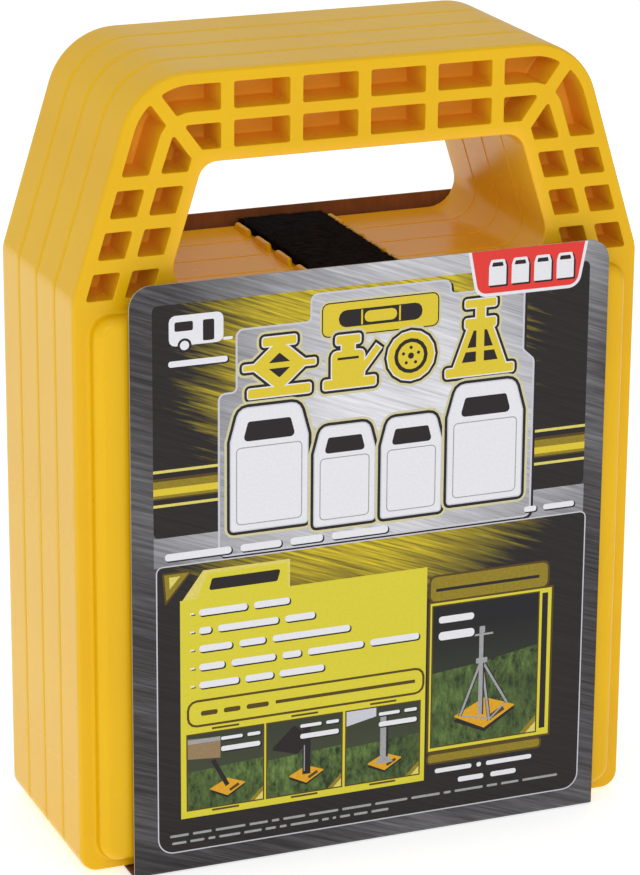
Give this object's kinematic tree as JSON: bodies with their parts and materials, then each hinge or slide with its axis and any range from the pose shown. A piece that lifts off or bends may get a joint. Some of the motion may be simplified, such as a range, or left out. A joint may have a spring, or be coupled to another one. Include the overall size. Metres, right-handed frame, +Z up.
{
  "type": "stabilizer jack pad pack",
  "caption": "Strapped retail pack of stacking yellow plastic jack pads with built-in handles, wrapped in a folded printed card sleeve.",
  "frame": {"origin": "centre of the base, on the surface that the upright pack stands on", "axes": "+Z up towards the handles, -Y towards the printed front of the sleeve, +X to the right as seen from the front"},
  "size_m": [0.165, 0.071, 0.2246],
  "materials": {
    "pad_plastic": "smooth injection-moulded resin",
    "strap_tape": "napped hook-and-loop tape",
    "printed_card": "printed and varnished outside, bare board inside"
  },
  "bodies": {
    "last_pad": {"pad_4": "pad_plastic", "strap_rear": "strap_tape"},
    "third_pad": {"pad_3": "pad_plastic"},
    "second_pad": {"pad_2": "pad_plastic"},
    "first_pad": {"pad_1": "pad_plastic"},
    "strap_front_length": {"strap_front": "strap_tape", "card_bottom_panel": "printed_card"},
    "card_front": {"card_front_panel": "printed_card"},
    "card_back": {"card_back_panel": "printed_card"}
  },
  "joints": [
    {"name": "third_pad_slide", "type": "slide", "parent": "last_pad", "child": "third_pad", "axis": [0, -1, 0], "range_m": [0, 0.04]},
    {"name": "second_pad_slide", "type": "slide", "parent": "third_pad", "child": "second_pad", "axis": [0, -1, 0], "range_m": [0, 0.04]},
    {"name": "first_pad_slide", "type": "slide", "parent": "second_pad", "child": "first_pad", "axis": [0, -1, 0], "range_m": [0, 0.04]},
    {"name": "strap_slide", "type": "slide", "parent": "first_pad", "child": "strap_front_length", "axis": [0, -1, 0], "range_m": [0, 0.04]},
    {"name": "card_front_crease", "type": "hinge", "parent": "strap_front_length", "child": "card_front", "pos_m": [0.0007, -0.0352, 0.00025], "axis": [1, 0, 0], "range_deg": [0, 90]},
    {"name": "card_back_crease", "type": "hinge", "parent": "last_pad", "child": "card_back", "pos_m": [0.0007, 0.0352, 0.00025], "axis": [-1, 0, 0], "range_deg": [0, 90]}
  ]
}
